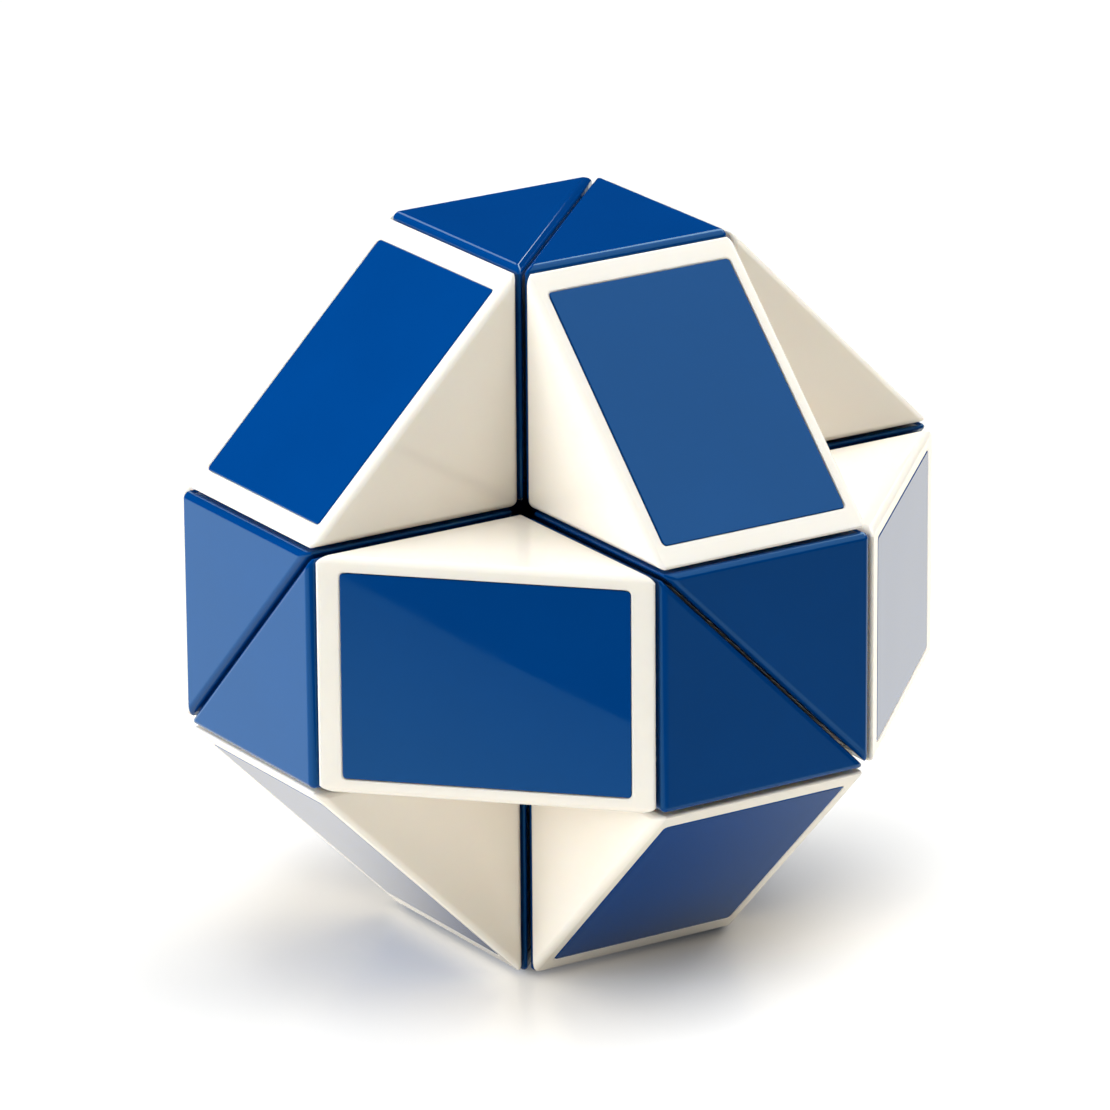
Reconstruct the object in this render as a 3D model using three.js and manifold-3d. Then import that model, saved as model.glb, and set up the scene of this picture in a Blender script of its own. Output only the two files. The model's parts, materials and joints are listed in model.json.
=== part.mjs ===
// Twisty snake puzzle: a chain of 24 hollow wedges joined by sprung bolts, folded into its ball.
//
// Millimetres, +Z up. The ball fills a 3 x 3 x 3 grid of cubic cells without its corners and its
// centre. A white wedge lies in each of the 12 edge cells, and two blue wedges share each of the
// 6 face cells. The origin is under the middle of the ball, on the surface that it rests on.
//
// Every wedge is drawn in the same frame of its own: its origin is the centre of its cell, its
// first square face (the entry, towards the wedge before it) looks along +X, its second (the exit,
// towards the wedge after it) looks along +Y, its sloping face passes close to the origin, and its
// two triangular faces look along +Z and -Z. A bolt's line runs through the middle of each square face.
import * as THREE from 'three';
import { mergeVertices } from 'three/addons/utils/BufferGeometryUtils.js';
import Module from 'manifold-3d';

// The grid and the chain.
const PITCH = 22;
const CELLS_ACROSS = 3;
const WEDGE_COUNT = 24;
// In the face cells of each axis, at its positive and its negative end: 1 if the right-angled
// edges of the two blue wedges lie where the other two axes have equal signs, -1 if opposite signs.
const FACE_DIAGONALS = [[1, 1], [-1, -1], [1, 1]];
// The chain starts in this edge cell and leaves it towards the face cell on this axis.
const FIRST_CELL = [0, -1, 1];
const FIRST_AXIS = 1;

// A wedge's outside.
const CLEARANCE = 0.16;        // each face stands this far inside its cell
const EDGE_BEVEL = 0.6;        // around the triangular faces
const CORNER_RADIUS = 0.8;     // on the edge between the two square faces
const TIP_TRIM = 0.5;          // cut off the two sharp edges, measured along the faces

// A wedge's inside.
const SQUARE_WALL = 1.6;       // behind the two square faces
const TRIANGLE_WALL = 1.37;    // behind the two triangular faces
const LEDGE = 0.75;            // step on the triangular walls that the cover sits on
const COVER_THICKNESS = 1.5;
const SEAM = 0.2;              // between a cover and its shell

// A twist joint: a hub on the entry face turns in a recess in the next exit face.
const HUB_RADIUS = 5;
const HUB_HEIGHT = 0.7;
const HUB_CLEARANCE = 0.35;    // around the hub and beyond its end
const BOSS_RADIUS = 3.1;       // the post inside the entry face that the screw is driven into
const BOSS_DEPTH = 4.84;       // from the entry face to the post's inner end
const HOLE_RADIUS = 1.65;

// The spring bolt: a screw with its washer and spring, in the exit side of one wedge.
const SHANK_RADIUS = 1.3;
const HEAD_RADIUS = 2.65;
const HEAD_THICKNESS = 1.3;
const HEAD_CHAMFER = 0.4;
const SPRING_RADIUS = 2.3;
const HEAD_TOP = 5.65;         // distance of the head's top from the wedge's origin
const BOLT_TIP_GAP = 0.45;     // between the screw's end and the inner end of the post
const BOLT_GAP = 0.3;          // between the spring and the wall that it presses on

const HUB_SEGMENTS = 12;
const BOLT_SEGMENTS = 8;
const ARC_DIVISIONS = 1;
const OVERLAP = 0.3;           // how far joined solids reach into each other
const REACH = 4;               // how far cutting solids reach past what they cut

const FACE = PITCH / 2 - CLEARANCE;            // from the origin to a square or triangular face
const INNER_FACE = FACE - SQUARE_WALL;
const CHAMBER_HALF_WIDTH = FACE - TRIANGLE_WALL;

const wasm = await Module();
wasm.setup();

function toSolid(geometry) {
  const bare = geometry.clone();
  bare.deleteAttribute('normal');
  bare.deleteAttribute('uv');
  const merged = mergeVertices(bare);
  const mesh = new wasm.Mesh({
    numProp: 3,
    vertProperties: new Float32Array(merged.attributes.position.array),
    triVerts: new Uint32Array(merged.index.array),
  });
  return new wasm.Manifold(mesh);
}

function toGeometry(solid) {
  const mesh = solid.getMesh();
  const geometry = new THREE.BufferGeometry();
  geometry.setAttribute('position', new THREE.BufferAttribute(mesh.vertProperties, 3));
  geometry.setIndex(new THREE.BufferAttribute(mesh.triVerts, 1));
  geometry.computeVertexNormals();
  return geometry;
}

// ---- solids in a wedge's own frame ----

// The point where a face line at `face` meets a slope at `slope`, both distances from the origin.
const slopeEnd = (face, slope) => slope * Math.SQRT2 - face;

// A straight prism with this outline, as wide as the two half-widths on either side of the origin.
function prism(points, halfWidth) {
  const shape = new THREE.Shape(points.map(([x, y]) => new THREE.Vector2(x, y)));
  const geometry = new THREE.ExtrudeGeometry(shape, { depth: 2 * halfWidth, bevelEnabled: false });
  return toSolid(geometry.translate(0, 0, -halfWidth));
}

// The triangle between both square faces at `face` and a slope at `slope`.
function triangle(face, slope) {
  const end = slopeEnd(face, slope);
  return [[face, end], [face, face], [end, face]];
}

// The same triangle up to a second slope further in: the outline of a cover.
function slopeBand(face, slope, innerSlope) {
  const end = slopeEnd(face, slope);
  const innerEnd = slopeEnd(face, innerSlope);
  return [[face, end], [face, innerEnd], [innerEnd, face], [end, face]];
}

// The outside of a wedge, with its triangular faces bevelled and its two sharp edges cut flat.
function wedgeBlock() {
  const end = slopeEnd(FACE, CLEARANCE);
  const outline = new THREE.Shape();
  outline.moveTo(FACE, end);
  outline.lineTo(FACE, FACE - CORNER_RADIUS);
  outline.absarc(FACE - CORNER_RADIUS, FACE - CORNER_RADIUS, CORNER_RADIUS, 0, Math.PI / 2);
  outline.lineTo(end, FACE);
  outline.closePath();
  const halfDepth = FACE - EDGE_BEVEL;
  const bevelled = new THREE.ExtrudeGeometry(outline, {
    depth: 2 * halfDepth,
    curveSegments: ARC_DIVISIONS,
    bevelThickness: EDGE_BEVEL,
    bevelSize: EDGE_BEVEL,
    bevelOffset: -EDGE_BEVEL,
    bevelSegments: 1,
  }).translate(0, 0, -halfDepth);

  const trim = TIP_TRIM * Math.SQRT1_2;
  const trimmed = [
    [FACE - trim, end + trim], [FACE, end + TIP_TRIM], [FACE, FACE],
    [end + TIP_TRIM, FACE], [end + trim, FACE - trim],
  ];
  return toSolid(bevelled).intersect(prism(trimmed, FACE + REACH));
}

// A round solid on the line through the exit face, or through the entry face, between two
// distances from the origin.
function rod(radius, from, to, segments, onEntry = false) {
  const cylinder = new THREE.CylinderGeometry(radius, radius, to - from, segments);
  cylinder.translate(0, (from + to) / 2, 0);
  return toSolid(onEntry ? cylinder.rotateZ(-Math.PI / 2) : cylinder);
}

// The space inside a shell. A white shell is open at its sloping face, with a ledge for its cover.
// A blue shell's cover is part of the shell, so its chamber ends behind that cover.
function chamber(isOpen) {
  const coverBack = CLEARANCE + COVER_THICKNESS;
  if (!isOpen) return prism(triangle(INNER_FACE, coverBack), CHAMBER_HALF_WIDTH);
  const mouth = slopeBand(INNER_FACE, -REACH, coverBack + SEAM);
  return prism(mouth, CHAMBER_HALF_WIDTH)
    .add(prism(triangle(INNER_FACE, CLEARANCE), CHAMBER_HALF_WIDTH - LEDGE));
}

// A shell. The chain's two free ends are plain: no hub at the first entry, no recess at the last exit.
function shellSolid({ isOpen, joinsBefore, joinsAfter }) {
  const holeStart = FACE - BOSS_DEPTH - OVERLAP;
  let solid = wedgeBlock().subtract(chamber(isOpen));
  if (joinsBefore) {
    solid = solid
      .add(rod(BOSS_RADIUS, FACE - BOSS_DEPTH, FACE - OVERLAP, BOLT_SEGMENTS, true))
      .add(rod(HUB_RADIUS, FACE - OVERLAP, FACE + HUB_HEIGHT, HUB_SEGMENTS, true))
      .subtract(rod(HOLE_RADIUS, holeStart, FACE + REACH, BOLT_SEGMENTS, true));
  }
  if (joinsAfter) {
    const floor = FACE + 2 * CLEARANCE - HUB_HEIGHT - HUB_CLEARANCE;
    solid = solid
      .subtract(rod(HUB_RADIUS + HUB_CLEARANCE, floor, FACE + REACH, HUB_SEGMENTS))
      .subtract(rod(HOLE_RADIUS, holeStart, FACE + REACH, BOLT_SEGMENTS));
  }
  return solid;
}

// The flush rectangular cover in a white wedge's sloping face. Its long edges are bevelled to lie
// against the square walls.
function coverSolid() {
  const outline = slopeBand(INNER_FACE - SEAM, CLEARANCE, CLEARANCE + COVER_THICKNESS);
  return prism(outline, CHAMBER_HALF_WIDTH - SEAM);
}

// A spring bolt along +Y: screw head, spring, shank, and a point that ends inside the next wedge.
function boltSolid() {
  const headBottom = HEAD_TOP + HEAD_THICKNESS;
  const springEnd = INNER_FACE - BOLT_GAP;
  const tip = PITCH - FACE + BOSS_DEPTH - BOLT_TIP_GAP;
  const profile = [
    [0, HEAD_TOP], [HEAD_RADIUS - HEAD_CHAMFER, HEAD_TOP], [HEAD_RADIUS, HEAD_TOP + HEAD_CHAMFER],
    [HEAD_RADIUS, headBottom], [SPRING_RADIUS, headBottom], [SPRING_RADIUS, springEnd],
    [SHANK_RADIUS, springEnd], [SHANK_RADIUS, tip - SHANK_RADIUS], [0, tip],
  ];
  const points = profile.map(([radius, along]) => new THREE.Vector2(radius, along));
  return toSolid(new THREE.LatheGeometry(points, BOLT_SEGMENTS));
}

// ---- the chain ----

const unit = (axis, sign) => new THREE.Vector3().setComponent(axis, sign);

// Walks the closed loop of cells. For each wedge: its cell, and the directions of its entry and exit.
function walkChain() {
  const chain = [];
  let cell = new THREE.Vector3(...FIRST_CELL);
  let axis = FIRST_AXIS;
  while (chain.length < WEDGE_COUNT) {
    const from = [0, 1, 2].find((i) => i !== axis && cell.getComponent(i) !== 0);
    const side = cell.getComponent(axis);
    const fromSide = cell.getComponent(from);
    chain.push({ isWhite: true, cell, entry: unit(axis, -side), exit: unit(from, -fromSide) });

    const turn = 3 - axis - from;
    const diagonal = FACE_DIAGONALS[axis][side > 0 ? 0 : 1];
    const turnSide = fromSide * diagonal;
    const faceCell = unit(axis, side);
    chain.push({ isWhite: false, cell: faceCell, entry: unit(from, fromSide), exit: unit(turn, turnSide) });

    cell = faceCell.clone().setComponent(turn, turnSide);
    axis = turn;
  }
  return chain;
}

const ivory = new THREE.MeshStandardMaterial({ color: 0xf2ece0, roughness: 0.25, metalness: 0 });
const blue = new THREE.MeshStandardMaterial({ color: 0x0b4a9c, roughness: 0.2, metalness: 0 });
const steel = new THREE.MeshStandardMaterial({ color: 0xb4b8bc, roughness: 0.35, metalness: 0.9 });

const coverGeometry = toGeometry(coverSolid());
const boltGeometry = toGeometry(boltSolid());

function part(name, geometry, material) {
  const mesh = new THREE.Mesh(geometry, material);
  mesh.name = name;
  return mesh;
}

// One wedge with its cover and the bolt in its exit side, placed in its cell.
function wedge({ isWhite, cell, entry, exit }, index) {
  const joinsBefore = index > 0;
  const joinsAfter = index < WEDGE_COUNT - 1;
  const number = String(index + 1).padStart(2, '0');
  const shell = toGeometry(shellSolid({ isOpen: isWhite, joinsBefore, joinsAfter }));

  const group = new THREE.Group();
  group.add(part(`wedge_${number}_shell`, shell, isWhite ? ivory : blue));
  if (isWhite) group.add(part(`wedge_${number}_cover`, coverGeometry, blue));
  if (joinsAfter) group.add(part(`spring_bolt_${number}`, boltGeometry, steel));

  const axes = new THREE.Matrix4().makeBasis(entry, exit, entry.clone().cross(exit));
  group.quaternion.setFromRotationMatrix(axes);
  group.position.copy(cell).multiplyScalar(PITCH);
  return group;
}

const snake = new THREE.Group();
walkChain().forEach((link, index) => snake.add(wedge(link, index)));
snake.position.z = CELLS_ACROSS * PITCH / 2 - CLEARANCE;

export default snake;
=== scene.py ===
import json
import math

import bmesh
import bpy
from mathutils import Matrix, Vector


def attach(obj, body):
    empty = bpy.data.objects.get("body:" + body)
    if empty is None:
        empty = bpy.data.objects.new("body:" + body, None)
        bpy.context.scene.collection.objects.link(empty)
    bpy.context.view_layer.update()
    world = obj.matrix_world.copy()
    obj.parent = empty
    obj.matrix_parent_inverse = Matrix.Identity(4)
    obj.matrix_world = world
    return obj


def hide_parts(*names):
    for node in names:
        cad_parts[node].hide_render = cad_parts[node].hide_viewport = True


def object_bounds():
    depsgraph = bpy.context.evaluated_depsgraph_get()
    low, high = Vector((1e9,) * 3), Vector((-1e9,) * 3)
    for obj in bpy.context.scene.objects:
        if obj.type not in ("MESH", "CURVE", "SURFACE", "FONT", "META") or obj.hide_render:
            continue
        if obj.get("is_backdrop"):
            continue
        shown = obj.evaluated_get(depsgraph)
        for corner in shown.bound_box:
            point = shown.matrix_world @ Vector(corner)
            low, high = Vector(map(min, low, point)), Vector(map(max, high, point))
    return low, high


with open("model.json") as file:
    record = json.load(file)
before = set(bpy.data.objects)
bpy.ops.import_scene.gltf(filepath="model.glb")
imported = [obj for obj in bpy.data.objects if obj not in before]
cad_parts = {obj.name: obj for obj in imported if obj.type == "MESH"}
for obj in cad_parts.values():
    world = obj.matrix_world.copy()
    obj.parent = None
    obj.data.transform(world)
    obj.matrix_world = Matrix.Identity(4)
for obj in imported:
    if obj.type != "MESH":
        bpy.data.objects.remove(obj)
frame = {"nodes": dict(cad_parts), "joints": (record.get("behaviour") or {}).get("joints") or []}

cad_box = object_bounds()

MM = 0.001
ROOT_TWO = math.sqrt(2)


# ---- where the wedges are, from the frame ----

JOINTS = sorted(frame["joints"], key=lambda joint: joint["name"])
WEDGE_COUNT = len(JOINTS) + 1


def wedge_centres():
    """The centres of the wedges' cells, in order along the chain, in metres."""
    middles = [Vector(joint["pos_m"]) for joint in JOINTS]
    axis = Vector(JOINTS[0]["axis"])
    entry_arm = axis * axis.dot(middles[0] - middles[1])
    second = middles[0] - entry_arm
    centres = [2 * middles[0] - second, second]
    for middle in middles[1:]:
        centres.append(2 * middle - centres[-1])
    return centres


CENTRES = wedge_centres()
PITCH = (CENTRES[1] - CENTRES[0]).length / MM
BALL_CENTRE = sum(CENTRES, Vector()) / WEDGE_COUNT
LOW, HIGH = cad_box
FACE = (HIGH.x - LOW.x) / MM / 2 - PITCH     # from a wedge's origin to its flat faces
CLEARANCE = PITCH / 2 - FACE


def wedge_matrix(index):
    """Places a wedge's own frame, in metres. The ball closes the chain, so the ends meet."""
    centre = CENTRES[index]
    entry = (CENTRES[index - 1] - centre).normalized()
    exit_side = (CENTRES[(index + 1) % WEDGE_COUNT] - centre).normalized()
    axes = Matrix((entry, exit_side, entry.cross(exit_side))).transposed()
    return Matrix.Translation(centre) @ axes.to_4x4()


# ---- sizes, in millimetres ----

SQUARE_EDGE_RADIUS = 0.65    # on the edges that meet at a right angle
TIP_SETBACK = 0.5            # from each sharp edge to where its rounding starts
EDGE_SEGMENTS = 6
EDGE_PROFILE = 0.42          # a little flatter than an arc, which would be 0.5
CREASE = 32                  # degrees between faces, from which an edge is drawn sharp

SQUARE_WALL = 1.6            # behind the entry and exit faces
TRIANGLE_WALL = 1.37         # behind the triangular faces
LEDGE = 0.75                 # step in the triangular walls that the cover sits on
COVER_THICKNESS = 1.5
LEDGE_GAP = 0.1              # between a cover and its ledge
SEAM = 0.09                  # around a cover
SEAM_CHAMFER = 0.07          # on both sides of the seam
MOUTH_CORNER = 0.42          # the radius of the mouth's corners
CORNER_STEPS = 6
POCKET_RADIUS = 0.4          # in the corner inside a shell

HUB_RADIUS = 5.0
HUB_HEIGHT = 0.7
HUB_CLEARANCE = 0.35
HUB_ROUNDING = 0.18
POST_RADIUS = 3.1
POST_DEPTH = 4.84            # from the entry face to the post's inner end
HOLE_RADIUS = 1.65
HOLE_CHAMFER = 0.25
RECESS_CHAMFER = 0.15
PIP_CIRCLE = 3.9             # the click pips' distance from the joint's axis
PIP_RADIUS = 0.55
PIP_HEIGHT = 0.22
POST_CHAMFER = 0.25
RIB_THICKNESS = 0.8
RIB_REACH = 6.4              # from the joint's axis
RIB_START = 1.2              # from the post's inner end
RIB_STEP = 0.4               # a rib's height at both ends, off the post and off the wall

SKIRT_DEPTH = 0.9            # below a cover's back
SKIRT_WALL = 0.8
SKIRT_GAP = 0.25
COVER_THINNING = 0.2         # taken off a cover's back inside its skirt

HEAD_TOP = 5.65              # distance of the screw's head from the wedge's origin
HEAD_RADIUS = 2.6
HEAD_THICKNESS = 0.95
HEAD_CROWN = 0.32            # height of one step of the head's rounded top
HEAD_FILLET = 0.15
DRIVE_REACH = 1.45           # the cross recess, from its middle
DRIVE_WIDTH = 0.5
DRIVE_DEPTH = 0.6
WASHER_THICKNESS = 0.35
WASHER_HOLE = 1.45
WASHER_CHAMFER = 0.08
WASHER_GAP = 0.02            # to the screw's head
SHANK_RADIUS = 1.2
THREAD_RADIUS = 1.5
THREAD_ROOT = 1.15
THREAD_PITCH = 0.8
THREAD_STEEPNESS = 1.6       # of the ridge's flanks, where 1 leaves no flat between turns
THREAD_DELAY = 0.2           # from the next wedge's entry face
TIP_MARGIN = 0.45            # from the post's inner end to the screw's tip
TIP_BLUNTNESS = 0.2          # the tip's radius, as a share of the radius before the point
POINT_LENGTH = 1.1
WIRE_RADIUS = 0.21
SPRING_RADIUS = 1.95         # to the middle of the wire
SPRING_TURNS = 3.5
SPRING_GAP_FIRST = 0.03      # to the washer
SPRING_GAP_LAST = 0.04       # to the exit wall
ROUND_SEGMENTS = 48
PIP_SEGMENTS = 20

INNER_FACE = FACE - SQUARE_WALL
CHAMBER_HALF_WIDTH = FACE - TRIANGLE_WALL
COVER_BACK = CLEARANCE + COVER_THICKNESS
RECESS_FLOOR = FACE + 2 * CLEARANCE - HUB_HEIGHT - HUB_CLEARANCE
OVERLAP = 0.3                # how far joined solids reach into each other
REACH = 4.0                  # how far cutting solids reach past what they cut


# ---- mesh building, in millimetres ----

def solid(rings, closed=False):
    """A solid through rings of points: capped at both ends, or closed into a loop."""
    bm = bmesh.new()
    loops = [[bm.verts.new(point) for point in ring] for ring in rings]
    pairs = list(zip(loops, loops[1:]))
    if closed:
        pairs.append((loops[-1], loops[0]))
    else:
        bm.faces.new(list(reversed(loops[0])))
        bm.faces.new(loops[-1])
    for lower, upper in pairs:
        for i in range(len(lower)):
            j = (i + 1) % len(lower)
            bm.faces.new((lower[i], lower[j], upper[j], upper[i]))
    bmesh.ops.recalc_face_normals(bm, faces=bm.faces)
    mesh = bpy.data.meshes.new("solid")
    bm.to_mesh(mesh)
    bm.free()
    return mesh


def evaluated(mesh, add_modifiers):
    """A new mesh: this one after the modifiers that add_modifiers puts on it."""
    holder = bpy.data.objects.new("holder", mesh)
    bpy.context.scene.collection.objects.link(holder)
    helpers = add_modifiers(holder) or []
    bpy.context.view_layer.update()
    depsgraph = bpy.context.evaluated_depsgraph_get()
    result = bpy.data.meshes.new_from_object(holder.evaluated_get(depsgraph))
    for helper in (holder, *helpers):
        bpy.data.objects.remove(helper)
    return result


def combine(mesh, tool, operation):
    """Two solids as one, by a boolean operation."""
    def add_modifiers(holder):
        helper = bpy.data.objects.new("helper", tool)
        bpy.context.scene.collection.objects.link(helper)
        modifier = holder.modifiers.new("combine", "BOOLEAN")
        modifier.solver = "EXACT"
        modifier.operation = operation
        modifier.object = helper
        return [helper]
    return evaluated(mesh, add_modifiers)


def join(mesh, *tools):
    for tool in tools:
        mesh = combine(mesh, tool, "UNION")
    return mesh


def cut(mesh, *tools):
    for tool in tools:
        mesh = combine(mesh, tool, "DIFFERENCE")
    return mesh


def rounded(mesh, radius_of, segments):
    """Rounds the edges for which radius_of(direction, middle) gives a radius above 0."""
    radii = []
    for edge in mesh.edges:
        a, b = (mesh.vertices[i].co for i in edge.vertices)
        radii.append(radius_of((b - a).normalized(), (a + b) / 2))
    largest = max(radii)
    weights = mesh.attributes.new("bevel_weight_edge", "FLOAT", "EDGE")
    weights.data.foreach_set("value", [radius / largest for radius in radii])

    def add_modifiers(holder):
        modifier = holder.modifiers.new("round", "BEVEL")
        modifier.limit_method = "WEIGHT"
        modifier.offset_type = "OFFSET"
        modifier.width = largest
        modifier.segments = segments
        modifier.profile = EDGE_PROFILE
        modifier.use_clamp_overlap = False
    return evaluated(mesh, add_modifiers)


def prism(outline, half_width):
    """An outline in X and Y, drawn out along Z to both sides."""
    return solid([[(x, y, z) for x, y in outline] for z in (-half_width, half_width)])


def slope_point(along, depth, z):
    """A point by its place along the sloping face and its depth behind it."""
    return Vector(((depth + along) / ROOT_TWO, (depth - along) / ROOT_TWO, z))


def slope_block(levels, corner=0.0):
    """A block behind the sloping face, from its half-length and half-width at each depth. corner is
    the radius of its corners."""
    steps = CORNER_STEPS if corner else 0
    rings = []
    for depth, half_length, half_width in levels:
        ring = []
        for quarter, (i, k) in enumerate(((1, 1), (-1, 1), (-1, -1), (1, -1))):
            for step in range(steps + 1):
                angle = math.radians(90 * (quarter + (step / steps if steps else 0)))
                along = i * (half_length - corner) + corner * math.cos(angle)
                across = k * (half_width - corner) + corner * math.sin(angle)
                ring.append(slope_point(along, depth, across))
        rings.append(ring)
    return solid(rings)


def wall_end(wall, depth):
    """How far along the slope a wall's plane, at this distance from the origin, is reached."""
    return wall * ROOT_TWO - depth


def turned(profile, segments=ROUND_SEGMENTS, on_entry=False, offset=(0, 0), closed=False):
    """A turned solid about the exit axis, or the entry axis, from (radius, distance) points.
    offset moves its own axis sideways."""
    shift, lift = offset
    angles = [math.tau * i / segments for i in range(segments)]
    if closed:
        rings = [[(r * math.cos(a), y, r * math.sin(a)) for r, y in profile] for a in angles]
    else:
        rings = [[(r * math.cos(a), y, r * math.sin(a)) for a in angles] for r, y in profile]
    placed = [[(x + shift, y, z + lift) for x, y, z in ring] for ring in rings]
    if on_entry:
        placed = [[(y, x, z) for x, y, z in ring] for ring in placed]
    return solid(placed, closed)


def arc(centre_radius, centre_along, radius, start, end, steps=5):
    """Points of a rounding in a turned profile, between two angles in degrees."""
    points = []
    for i in range(steps + 1):
        angle = math.radians(start + (end - start) * i / steps)
        points.append((centre_radius + radius * math.cos(angle),
                       centre_along + radius * math.sin(angle)))
    return points


def finished(mesh):
    """The mesh in metres, smooth but for its creases, with flat faces shaded flat."""
    mesh.transform(Matrix.Scale(MM, 4))
    mesh.shade_smooth()
    mesh.set_sharp_from_angle(angle=math.radians(CREASE))

    def add_modifiers(holder):
        modifier = holder.modifiers.new("flat_faces", "WEIGHTED_NORMAL")
        modifier.weight = 100
        modifier.keep_sharp = True
    return evaluated(mesh, add_modifiers)


# ---- the shells ----

def wedge_block():
    """The outside of a wedge, with every edge rounded."""
    end = CLEARANCE * ROOT_TWO - FACE
    block = prism([(FACE, end), (FACE, FACE), (end, FACE)], FACE)

    def radius_of(direction, middle):
        is_lengthwise = abs(direction.z) > 0.5
        is_right_angle = middle.x > FACE / 2 and middle.y > FACE / 2
        return TIP_SETBACK if is_lengthwise and not is_right_angle else SQUARE_EDGE_RADIUS
    return rounded(block, radius_of, EDGE_SEGMENTS)


def chamber():
    """The space behind the ledge that the cover sits on."""
    end = CLEARANCE * ROOT_TWO - INNER_FACE
    outline = [(INNER_FACE, end), (INNER_FACE, INNER_FACE), (end, INNER_FACE)]
    block = prism(outline, CHAMBER_HALF_WIDTH - LEDGE)

    def radius_of(direction, middle):
        is_lengthwise = abs(direction.z) > 0.5
        is_right_angle = middle.x > INNER_FACE / 2 and middle.y > INNER_FACE / 2
        return POCKET_RADIUS if is_lengthwise and is_right_angle else 0.0
    return rounded(block, radius_of, EDGE_SEGMENTS)


def mouth():
    """The opening in the sloping face, down to the ledge."""
    floor = COVER_BACK + LEDGE_GAP
    lip = CLEARANCE + SEAM_CHAMFER
    top = wall_end(INNER_FACE, CLEARANCE) + SEAM_CHAMFER
    return slope_block([
        (floor, wall_end(INNER_FACE, floor), CHAMBER_HALF_WIDTH),
        (lip, wall_end(INNER_FACE, lip), CHAMBER_HALF_WIDTH),
        (CLEARANCE, top, CHAMBER_HALF_WIDTH + SEAM_CHAMFER),
        (-REACH, top, CHAMBER_HALF_WIDTH + SEAM_CHAMFER),
    ], MOUTH_CORNER)


def click_places():
    """The four click stops around a joint, from its axis."""
    quarters = [math.radians(90 * i + 45) for i in range(4)]
    return [(PIP_CIRCLE * math.cos(a), PIP_CIRCLE * math.sin(a)) for a in quarters]


def dome(base, height, radius, on_entry, offset):
    """A low dome whose foot is at base and whose top is height further along the axis."""
    heights = [math.radians(15 * i) for i in range(6)]
    sunk = base - math.copysign(OVERLAP / 2, height)
    cap = [(radius * math.cos(a), base + height * math.sin(a)) for a in heights]
    return turned([(radius, sunk), *cap], PIP_SEGMENTS, on_entry, offset)


def hub():
    """The hub on the entry face, which turns in the recess of the wedge before."""
    top = FACE + HUB_HEIGHT
    edge = arc(HUB_RADIUS - HUB_ROUNDING, top - HUB_ROUNDING, HUB_ROUNDING, 0, 90)
    boss = turned([(HUB_RADIUS, FACE - OVERLAP), *edge], on_entry=True)
    pips = [dome(top, PIP_HEIGHT, PIP_RADIUS, True, offset) for offset in click_places()]
    return join(boss, *pips)


def post():
    """The post inside the entry face that the screw is driven into, with two ribs."""
    inner = FACE - POST_DEPTH
    foot = FACE - OVERLAP
    column = turned([(POST_RADIUS - POST_CHAMFER, inner), (POST_RADIUS, inner + POST_CHAMFER),
                     (POST_RADIUS, foot)], on_entry=True)
    shoulder = inner + RIB_START
    root = POST_RADIUS - OVERLAP
    profile = [(shoulder, root), (shoulder, POST_RADIUS + RIB_STEP),
               (INNER_FACE - RIB_STEP, RIB_REACH), (foot, RIB_REACH), (foot, root)]
    ribs = []
    for side in (-1, 1):
        ribs.append(solid([[(x, y, side * z) for x, z in profile]
                           for y in (-RIB_THICKNESS / 2, RIB_THICKNESS / 2)]))
    return join(column, *ribs)


def recess():
    """What is cut from the exit face: room for the next hub, with four click dimples."""
    radius = HUB_RADIUS + HUB_CLEARANCE
    rim = radius + RECESS_CHAMFER
    room = turned([(radius, RECESS_FLOOR), (radius, FACE - RECESS_CHAMFER), (rim, FACE),
                   (rim, FACE + REACH)])
    dimples = [dome(RECESS_FLOOR, -PIP_HEIGHT, PIP_RADIUS, False, offset)
               for offset in click_places()]
    return join(room, *dimples)


def screw_hole(on_entry):
    """A hole along a joint's axis, with its outer end chamfered."""
    outer = FACE + HUB_HEIGHT if on_entry else RECESS_FLOOR
    start = FACE - POST_DEPTH - OVERLAP
    rim = HOLE_RADIUS + HOLE_CHAMFER
    return turned([(HOLE_RADIUS, start), (HOLE_RADIUS, outer - HOLE_CHAMFER), (rim, outer),
                   (rim, outer + REACH)], on_entry=on_entry)


def shell(joins_before, joins_after):
    """A hollow shell. Where it joins no neighbour, it is plain, without its hub or recess."""
    mesh = cut(wedge_block(), chamber(), mouth())
    if joins_before:
        mesh = cut(join(mesh, hub(), post()), screw_hole(on_entry=True))
    if joins_after:
        mesh = cut(mesh, recess(), screw_hole(on_entry=False))
    return finished(mesh)


# ---- the covers ----

def cover():
    """A flush rectangular cover with a locating skirt behind it."""
    wall = INNER_FACE - SEAM
    half_width = CHAMBER_HALF_WIDTH - SEAM
    edge = CLEARANCE + SEAM_CHAMFER
    plate = slope_block([
        (CLEARANCE, wall_end(wall, CLEARANCE) - SEAM_CHAMFER, half_width - SEAM_CHAMFER),
        (edge, wall_end(wall, CLEARANCE), half_width),
        (edge + SEAM_CHAMFER, wall_end(wall, edge + SEAM_CHAMFER), half_width),
        (COVER_BACK, wall_end(wall, COVER_BACK), half_width),
    ], MOUTH_CORNER - SEAM)
    skirt_end = COVER_BACK + SKIRT_DEPTH
    half_length = wall_end(INNER_FACE, skirt_end) - SKIRT_GAP * ROOT_TWO
    skirt_half_width = CHAMBER_HALF_WIDTH - LEDGE - SKIRT_GAP
    skirt = slope_block([
        (COVER_BACK - OVERLAP, half_length, skirt_half_width),
        (skirt_end, half_length, skirt_half_width),
    ])
    inner_length = half_length - SKIRT_WALL
    inner_width = skirt_half_width - SKIRT_WALL
    pocket = slope_block([
        (COVER_BACK - COVER_THINNING, inner_length, inner_width),
        (skirt_end + REACH, inner_length, inner_width),
    ])
    return finished(cut(join(plate, skirt), pocket))


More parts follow.
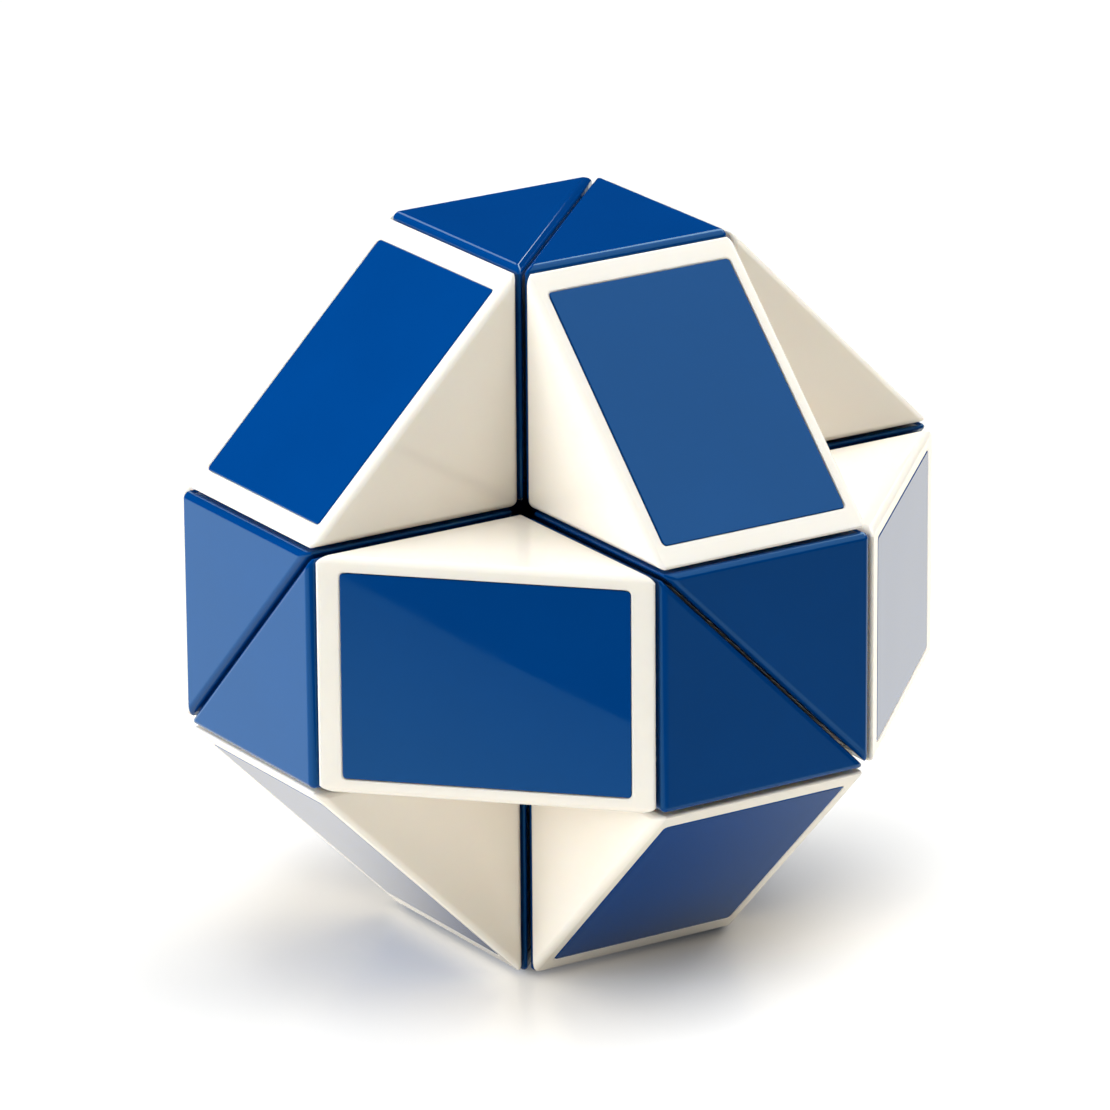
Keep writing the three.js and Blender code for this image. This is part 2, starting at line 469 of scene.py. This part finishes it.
# ---- the sprung bolts, along a wedge's exit axis ----

HEAD_BOTTOM = HEAD_TOP + HEAD_THICKNESS
SPRING_START = HEAD_BOTTOM + WASHER_THICKNESS
NEXT_ENTRY_FACE = PITCH - FACE
SCREW_TIP = NEXT_ENTRY_FACE + POST_DEPTH - TIP_MARGIN
THREAD_START = NEXT_ENTRY_FACE + THREAD_DELAY


def thread_radius(along, turn):
    """The threaded shank's radius at a distance from the origin, and a turn from 0 to 1."""
    if along < THREAD_START:
        return SHANK_RADIUS
    fade = min(1.0, (along - THREAD_START) / THREAD_PITCH)
    phase = ((along - THREAD_START) / THREAD_PITCH - turn) % 1.0
    ridge = max(0.0, 1 - abs(2 * phase - 1) * THREAD_STEEPNESS)
    radius = THREAD_ROOT + (THREAD_RADIUS - THREAD_ROOT) * ridge * fade
    to_tip = (SCREW_TIP - along) / POINT_LENGTH
    return radius * min(1.0, TIP_BLUNTNESS + (1 - TIP_BLUNTNESS) * to_tip)


def screw():
    """A pan-head screw with a cross recess and a cut thread, as one solid."""
    segments, steps_per_pitch = 24, 8
    turns = [i / segments for i in range(segments)]

    def ring(radius_of_turn, along):
        return [(radius_of_turn(t) * math.cos(math.tau * t), along,
                 radius_of_turn(t) * math.sin(math.tau * t)) for t in turns]

    head = [(HEAD_RADIUS * 0.35, HEAD_TOP), (HEAD_RADIUS * 0.7, HEAD_TOP + HEAD_CROWN * 0.3),
            (HEAD_RADIUS * 0.92, HEAD_TOP + HEAD_CROWN), (HEAD_RADIUS, HEAD_TOP + HEAD_CROWN * 2),
            (HEAD_RADIUS, HEAD_BOTTOM), (SHANK_RADIUS + HEAD_FILLET, HEAD_BOTTOM),
            (SHANK_RADIUS, HEAD_BOTTOM + HEAD_FILLET)]
    rings = [ring(lambda t, r=radius: r, along) for radius, along in head]
    length = SCREW_TIP - THREAD_START
    count = int(length / THREAD_PITCH * steps_per_pitch)
    for i in range(count + 1):
        along = THREAD_START + length * i / count
        rings.append(ring(lambda t, y=along: thread_radius(y, t), along))
    body = solid(rings)
    half_width = DRIVE_WIDTH / 2
    levels = ((HEAD_TOP - REACH, DRIVE_REACH, half_width), (HEAD_TOP, DRIVE_REACH, half_width),
              (HEAD_TOP + DRIVE_DEPTH, DRIVE_REACH * 0.45, half_width * 0.7))
    slots = []
    for across in (False, True):
        block = []
        for along, reach, half in levels:
            corners = [(-reach, -half), (reach, -half), (reach, half), (-reach, half)]
            block.append([(z, along, x) if across else (x, along, z) for x, z in corners])
        slots.append(solid(block))
    return finished(cut(body, join(*slots)))


def washer():
    """A flat washer as wide as the screw's head, with every edge chamfered."""
    edge = WASHER_CHAMFER
    top, bottom = SPRING_START, HEAD_BOTTOM + WASHER_GAP
    profile = [(WASHER_HOLE + edge, bottom), (HEAD_RADIUS - edge, bottom),
               (HEAD_RADIUS, bottom + edge), (HEAD_RADIUS, top - edge),
               (HEAD_RADIUS - edge, top), (WASHER_HOLE + edge, top),
               (WASHER_HOLE, top - edge), (WASHER_HOLE, bottom + edge)]
    return finished(turned(profile, closed=True))


def spring():
    """A compression spring whose end turns lie flat."""
    start = SPRING_START + WIRE_RADIUS + SPRING_GAP_FIRST
    end = INNER_FACE - WIRE_RADIUS - SPRING_GAP_LAST
    steps_per_turn, sides = 28, 10
    section = [math.tau * i / sides for i in range(sides)]
    count = int(SPRING_TURNS * steps_per_turn)
    flat = 0.5 / SPRING_TURNS    # the share of its length that each flat half turn takes
    rings = []
    for i in range(count + 1):
        share = i / count
        angle = math.tau * SPRING_TURNS * share
        lift = min(1.0, max(0.0, (share - flat) / (1 - 2 * flat)))
        along = start + (end - start) * lift
        outward = Vector((math.cos(angle), 0, math.sin(angle)))
        middle = outward * SPRING_RADIUS + Vector((0, along, 0))
        rings.append([middle + WIRE_RADIUS * (outward * math.cos(a) + Vector((0, math.sin(a), 0)))
                      for a in section])
    return finished(solid(rings))


# ---- materials ----

def add_node(tree, kind, **values):
    """A shader node with some inputs set, by input name with spaces written as _."""
    node = tree.nodes.new(kind)
    for name, value in values.items():
        node.inputs[name.replace("_", " ")].default_value = value
    return node


def noise(tree, where, scale, detail):
    """Soft noise about 0.5, at these coordinates."""
    node = add_node(tree, "ShaderNodeTexNoise", Scale=scale, Detail=detail)
    tree.links.new(where, node.inputs["Vector"])
    return node.outputs["Fac"]


def ranged(tree, value, low, high, start=0.3, end=0.7, style="LINEAR"):
    """value, from start to end, as low to high."""
    node = add_node(tree, "ShaderNodeMapRange",
                    From_Min=start, From_Max=end, To_Min=low, To_Max=high)
    node.interpolation_type = style
    tree.links.new(value, node.inputs["Value"])
    return node.outputs["Result"]


def calculated(tree, operation, first, second):
    """A maths operation on two values, each a socket or a float."""
    node = tree.nodes.new("ShaderNodeMath")
    node.operation = operation
    for socket, value in zip(node.inputs, (first, second)):
        if isinstance(value, float):
            socket.default_value = value
        else:
            tree.links.new(value, socket)
    return node.outputs["Value"]


def object_place(tree):
    """The object coordinates as x and y, and the whole vector."""
    vector = tree.nodes.new("ShaderNodeTexCoord").outputs["Object"]
    split = tree.nodes.new("ShaderNodeSeparateXYZ")
    tree.links.new(vector, split.inputs["Vector"])
    return split.outputs["X"], split.outputs["Y"], vector


def distance_from(tree, vector, point, shape=Vector((1, 1, 1))):
    """The distance from a point, after scaling each axis by shape."""
    scaled = tree.nodes.new("ShaderNodeVectorMath")
    scaled.operation = "MULTIPLY"
    scaled.inputs[1].default_value = shape
    tree.links.new(vector, scaled.inputs[0])
    node = tree.nodes.new("ShaderNodeVectorMath")
    node.operation = "DISTANCE"
    node.inputs[1].default_value = point * shape
    tree.links.new(scaled.outputs["Vector"], node.inputs[0])
    return node.outputs["Value"]


def bumped(tree, height, depth, below=None):
    """The normal of a bumpy surface, depth in metres, on top of another bump's normal."""
    node = add_node(tree, "ShaderNodeBump", Strength=1.0, Distance=depth)
    tree.links.new(height, node.inputs["Height"])
    if below is not None:
        tree.links.new(below, node.inputs["Normal"])
    return node.outputs["Normal"]


def new_material(name):
    """A node material, its tree, its main shader, and coordinates that differ between pieces."""
    material = bpy.data.materials.new(name)
    material.use_nodes = True
    tree = material.node_tree
    tree.nodes.clear()
    shader = tree.nodes.new("ShaderNodeBsdfPrincipled")
    output = tree.nodes.new("ShaderNodeOutputMaterial")
    tree.links.new(shader.outputs["BSDF"], output.inputs["Surface"])
    coordinates = tree.nodes.new("ShaderNodeTexCoord")
    info = tree.nodes.new("ShaderNodeObjectInfo")
    shifted = tree.nodes.new("ShaderNodeVectorMath")
    tree.links.new(coordinates.outputs["Object"], shifted.inputs[0])
    tree.links.new(info.outputs["Random"], shifted.inputs[1])
    return material, tree, shader, shifted.outputs["Vector"]


def tinted(tree, shader, value, colour, other, socket="Base Color"):
    """A shader's colour, between two colours."""
    node = tree.nodes.new("ShaderNodeMix")
    node.data_type = "RGBA"
    node.inputs["A"].default_value = (*colour, 1)
    node.inputs["B"].default_value = (*other, 1)
    tree.links.new(value, node.inputs["Factor"])
    tree.links.new(node.outputs["Result"], shader.inputs[socket])


def moulded_plastic(name, colour, other, smooth, rough, translucency, gloss_tint=(1, 1, 1)):
    """Glossy moulded plastic: faint flow marks, hazy gloss, and slightly wavy flats."""
    material, tree, shader, where = new_material(name)
    shader.inputs["IOR"].default_value = 1.5
    shader.inputs["Specular Tint"].default_value = (*gloss_tint, 1)
    shader.inputs["Subsurface Weight"].default_value = translucency
    shader.inputs["Subsurface Radius"].default_value = (1.0, 0.75, 0.5)
    shader.inputs["Subsurface Scale"].default_value = 2.0 * MM
    flow = noise(tree, where, 90, 4)
    tinted(tree, shader, ranged(tree, flow, 0, 1), colour, other)
    haze = noise(tree, where, 260, 5)
    tree.links.new(ranged(tree, haze, smooth, rough), shader.inputs["Roughness"])
    waves = bumped(tree, noise(tree, where, 55, 1), 0.03 * MM)
    grain = bumped(tree, noise(tree, where, 2600, 2), 0.0003 * MM, waves)
    tree.links.new(grain, shader.inputs["Normal"])
    return material


def plated_steel():
    """Bright zinc plating, slightly brushed."""
    material, tree, shader, where = new_material("plated_steel")
    shader.inputs["Metallic"].default_value = 1.0
    patches = noise(tree, where, 700, 4)
    tinted(tree, shader, ranged(tree, patches, 0, 1), (0.62, 0.64, 0.66), (0.74, 0.74, 0.72))
    tree.links.new(ranged(tree, patches, 0.22, 0.38), shader.inputs["Roughness"])
    tree.links.new(bumped(tree, noise(tree, where, 5000, 3), 0.002 * MM), shader.inputs["Normal"])
    return material


IVORY = moulded_plastic("ivory_plastic", colour=(0.93, 0.855, 0.742), other=(0.915, 0.834, 0.714),
                        smooth=0.07, rough=0.13, translucency=0.25)
BLUE = moulded_plastic("blue_plastic", colour=(0.0, 0.0455, 0.203), other=(0.0, 0.0425, 0.190),
                       smooth=0.02, rough=0.045, translucency=0.0, gloss_tint=(0.35, 0.9, 1))
STEEL = plated_steel()


# ---- the object ----

def place(name, mesh, matrix, material, slot, body, replaced=None):
    """One piece: its own copy of a mesh, put in place and tied to its body."""
    piece = bpy.data.objects.new(name, mesh.copy())
    bpy.context.scene.collection.objects.link(piece)
    piece.data.name = name
    piece.data.materials.clear()
    piece.data.materials.append(material)
    piece.matrix_world = matrix
    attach(piece, body)
    if replaced:
        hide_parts(replaced)


def build_snake():
    """All pieces of the 24 wedges. A bolt rides with the wedge that it is driven into."""
    shells = {ends: shell(*ends) for ends in ((True, True), (False, True), (True, False))}
    cover_mesh = cover()
    bolt_meshes = {"screw": screw(), "washer": washer(), "spring": spring()}
    for index in range(WEDGE_COUNT):
        number = f"{index + 1:02d}"
        body = f"wedge_{number}"
        matrix = wedge_matrix(index)
        ends = (index > 0, index < WEDGE_COUNT - 1)
        is_ivory = f"{body}_cover" in frame["nodes"]    # blue wedges have no node for their cover
        cover_node = f"{body}_cover" if is_ivory else None
        shell_look = (IVORY, "ivory_plastic") if is_ivory else (BLUE, "blue_plastic")
        cover_look = (BLUE, "blue_plastic") if is_ivory else (IVORY, "ivory_plastic")
        place(f"shell_{number}", shells[ends], matrix, *shell_look, body, f"{body}_shell")
        place(f"cover_{number}", cover_mesh, matrix, *cover_look, body, cover_node)
        if ends[1]:
            next_body = f"wedge_{index + 2:02d}"
            bolt_node = f"spring_bolt_{number}"
            for kind, mesh in bolt_meshes.items():
                place(f"{kind}_{number}", mesh, matrix, STEEL, "plated_steel", next_body, bolt_node)


# ---- the studio ----

COOL = (0.95, 1.0, 1.07)
WARM = (1.0, 0.96, 0.9)
WHITE = (1.0, 1.0, 1.0)

# Each light's azimuth and elevation in degrees, distance, width and height in metres, power in
# watts, colour, and whether glossy surfaces mirror it.
LIGHTS = {
    "key": (-28, 18, 1.1, 1.8, 0.6, 21.5, COOL, False),
    "overhead": (150, 80, 1.2, 1.2, 1.2, 15.0, COOL, False),
    "back": (200, 40, 1.2, 0.8, 0.8, 9.5, WHITE, True),
    "front": (60, 25, 1.3, 1.2, 0.8, 0.6, WARM, False),
    "gleam": (150, 52, 1.2, 0.9, 0.9, 2.9, WHITE, True),
    "side": (262, 30, 1.2, 0.35, 0.35, 0.8, WHITE, True),
}
WORLD_GLOW = 0.005

# The floor and the sheen lie just under the ball. Their lengths are in metres.
FLOOR_RADIUS = 3.5
FLOOR_DROP = 0.00002
FLOOR_COLOURS = ((0.776, 0.757, 0.718), (0.766, 0.747, 0.708))
FLOOR_ROUGHNESS = 0.3
# The floor's glow is a painted pool of light, a ring around the ball's shadow that trims it.
FLOOR_GLOW = (0.0, 0.33)                # painted glow strength: at its middle, and around it
FLOOR_GLOW_REACH = (0.0124, 0.0344)     # how far from there each is reached, along X
FLOOR_GLOW_MIDDLE = Vector((-0.006, 0.0134, 0))
FLOOR_GLOW_SHAPE = Vector((1, 0.74, 1))     # longer along Y
FLOOR_GLOW_FADE = (0.06, 0.11)          # from the ball's centre, where it starts to fade, and ends

# The sheen's glow is painted reflection: a bright sheet with a sharp painted edge, a cooler tint at
# the camera's left, and a painted shadow at the ball's foot.
SHEEN_RADIUS = 0.6
SHEEN_DROP = 0.0001
SHEEN_COLOURS = ((1.03, 1.23, 1.21), (1.0, 0.955, 0.86))    # at the camera's left, and elsewhere
SHEEN_LEFT = Vector((-0.1, -0.1, 0))
SHEEN_LEFT_REACH = (0.07, 0.1)          # from there, where one colour ends and the other starts
SHEEN_LINE = 0.077                      # the x of a sharp line, with the ball's side below it
SHEEN_BALL_SIDE = (1.12, 0.54)          # brightness there: away from the line, and at it
SHEEN_BALL_SIDE_REACH = (0.04, SHEEN_LINE)  # the x of each
SHEEN_FAR_SIDE = (0.02, 0.28)           # brightness past the line: at low y, and at high y
SHEEN_FAR_SIDE_REACH = (-0.07, 0.02)    # the y of each
SHEEN_BACK = (1, 1.22)                  # what the ball's side is multiplied by: at low and high y
SHEEN_BACK_REACH = (0, 0.06)            # the y of each
SHEEN_SHADE = (0.1, 1)                  # painted shadow: what it is multiplied by, at the ball's foot, and away
SHEEN_SHADE_REACH = (0.005, 0.068)      # how far from its middle each is reached, along Y
SHEEN_SHADE_MIDDLE = Vector((0.019, -0.006, 0))
SHEEN_SHADE_SHAPE = Vector((1.5, 1, 1))     # shorter along X


def direction(azimuth, elevation):
    """From the ball towards a light or the camera. Azimuth 0 is towards -Y, and 90 towards +X."""
    a, e = math.radians(azimuth), math.radians(elevation)
    return Vector((math.sin(a) * math.cos(e), -math.cos(a) * math.cos(e), math.sin(e)))


def aim(thing, back):
    """Turns a light to shine against this direction, which leads from the ball to it."""
    thing.rotation_mode = "QUATERNION"
    thing.rotation_quaternion = back.to_track_quat("Z", "Y")


def soft_light(name, azimuth, elevation, distance, width, height, power, colour, in_gloss):
    """A rectangular soft light aimed at the ball. in_gloss is whether glossy surfaces mirror it."""
    lamp = bpy.data.lights.new(name, "AREA")
    lamp.shape = "RECTANGLE"
    lamp.size = width
    lamp.size_y = height
    lamp.energy = power
    lamp.color = colour
    light = bpy.data.objects.new(name, lamp)
    bpy.context.scene.collection.objects.link(light)
    back = direction(azimuth, elevation)
    light.location = BALL_CENTRE + back * distance
    aim(light, back)
    light.visible_camera = False
    light.visible_glossy = in_gloss


def disc(name, radius, height, material):
    """A round sheet of the stage at this height."""
    bm = bmesh.new()
    bmesh.ops.create_circle(bm, cap_ends=True, segments=96, radius=radius)
    mesh = bpy.data.meshes.new(name)
    bm.to_mesh(mesh)
    bm.free()
    sheet = bpy.data.objects.new(name, mesh)
    bpy.context.scene.collection.objects.link(sheet)
    mesh.materials.append(material)
    sheet.location.z = height
    sheet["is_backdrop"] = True
    return sheet


def build_floor():
    """A pale floor with painted light: it glows softly in a ring around the ball, like a strongly
    lit table, and not at the ring's middle.
    """
    material, tree, shader, where = new_material("pale_floor")
    tinted(tree, shader, noise(tree, where, 3, 2), *FLOOR_COLOURS)
    shader.inputs["Roughness"].default_value = FLOOR_ROUGHNESS
    shader.inputs["Emission Color"].default_value = (*WARM, 1)
    _, _, vector = object_place(tree)
    # painted light: a glowing ring around the ball, none at its middle, fading far away
    away = distance_from(tree, vector, FLOOR_GLOW_MIDDLE, FLOOR_GLOW_SHAPE)
    glow = ranged(tree, away, *FLOOR_GLOW, *FLOOR_GLOW_REACH, "SMOOTHSTEP")
    from_centre = distance_from(tree, vector, Vector())
    fade = ranged(tree, from_centre, 1, 0, *FLOOR_GLOW_FADE, "SMOOTHSTEP")
    glow = calculated(tree, "MULTIPLY", glow, fade)
    tree.links.new(glow, shader.inputs["Emission Strength"])
    floor = disc("floor", FLOOR_RADIUS, LOW.z - FLOOR_DROP, material)
    floor.visible_glossy = False


def sheen_material():
    """A light sheet of painted reflections: bright on the ball's side of a sharp line, with a
    painted shadow at the ball's foot, and dark past the line."""
    material, tree, shader, _ = new_material("sheen")
    shader.inputs["Base Color"].default_value = (0, 0, 0, 1)
    shader.inputs["Specular IOR Level"].default_value = 0.0
    x, y, vector = object_place(tree)
    elsewhere = ranged(tree, distance_from(tree, vector, SHEEN_LEFT), 0, 1, *SHEEN_LEFT_REACH)
    tinted(tree, shader, elsewhere, *SHEEN_COLOURS, "Emission Color")
    ball_side = ranged(tree, x, *SHEEN_BALL_SIDE, *SHEEN_BALL_SIDE_REACH)
    back = ranged(tree, y, *SHEEN_BACK, *SHEEN_BACK_REACH)
    ball_side = calculated(tree, "MULTIPLY", ball_side, back)
    # painted shadow: the sheen darkens around the ball's foot
    away = distance_from(tree, vector, SHEEN_SHADE_MIDDLE, SHEEN_SHADE_SHAPE)
    shade = ranged(tree, away, *SHEEN_SHADE, *SHEEN_SHADE_REACH, "SMOOTHSTEP")
    ball_side = calculated(tree, "MULTIPLY", ball_side, shade)
    far_side = ranged(tree, y, *SHEEN_FAR_SIDE, *SHEEN_FAR_SIDE_REACH)
    choice = tree.nodes.new("ShaderNodeMix")
    tree.links.new(calculated(tree, "GREATER_THAN", x, SHEEN_LINE), choice.inputs["Factor"])
    tree.links.new(ball_side, choice.inputs["A"])
    tree.links.new(far_side, choice.inputs["B"])
    tree.links.new(choice.outputs["Result"], shader.inputs["Emission Strength"])
    return material


def build_sheen():
    """A glowing sheet of painted reflections, which glossy faces mirror in place of the floor.
    Nothing else sees this sheet.
    """
    sheet = disc("sheen", SHEEN_RADIUS, LOW.z - SHEEN_DROP, sheen_material())
    sheet.visible_camera = False
    sheet.visible_diffuse = False
    sheet.visible_shadow = False
    sheet.visible_transmission = False
    sheet.visible_volume_scatter = False


def build_lights():
    """The soft lights, and a very faint glow from all around."""
    for name, settings in LIGHTS.items():
        soft_light(name, *settings)
    world = bpy.data.worlds.new("studio")
    world.use_nodes = True
    background = world.node_tree.nodes["Background"]
    background.inputs["Color"].default_value = (1, 1, 1, 1)
    background.inputs["Strength"].default_value = WORLD_GLOW
    bpy.context.scene.world = world


# Angles are in degrees, the distance in metres, and the sensor and the lens in millimetres.
CAMERA_AZIMUTH = 57.39
CAMERA_ELEVATION = 18.62
CAMERA_ROLL = -0.44
CAMERA_DISTANCE = 0.7407
CAMERA_SENSOR = 36
CAMERA_LENS = 268.8
CAMERA_TARGET = BALL_CENTRE + Vector((-0.73, -0.22, 1.48)) * MM


def build_camera():
    """The camera, at the photograph's viewing angle."""
    lens = bpy.data.cameras.new("camera")
    lens.sensor_width = CAMERA_SENSOR
    lens.lens = CAMERA_LENS
    lens.clip_start = 0.01
    lens.clip_end = 20
    camera = bpy.data.objects.new("camera", lens)
    bpy.context.scene.collection.objects.link(camera)
    back = direction(CAMERA_AZIMUTH, CAMERA_ELEVATION)
    camera.location = CAMERA_TARGET + back * CAMERA_DISTANCE
    roll = Matrix.Rotation(math.radians(CAMERA_ROLL), 4, "Z")
    camera.matrix_world = (Matrix.Translation(camera.location)
                           @ back.to_track_quat("Z", "Y").to_matrix().to_4x4() @ roll)
    bpy.context.scene.camera = camera


build_snake()
build_floor()
build_sheen()
build_lights()
build_camera()
bpy.context.scene.view_settings.view_transform = "Standard"

boxes = {"cad": cad_box, "visual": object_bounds()}
{name: [list(corner) for corner in box] for name, box in boxes.items()}
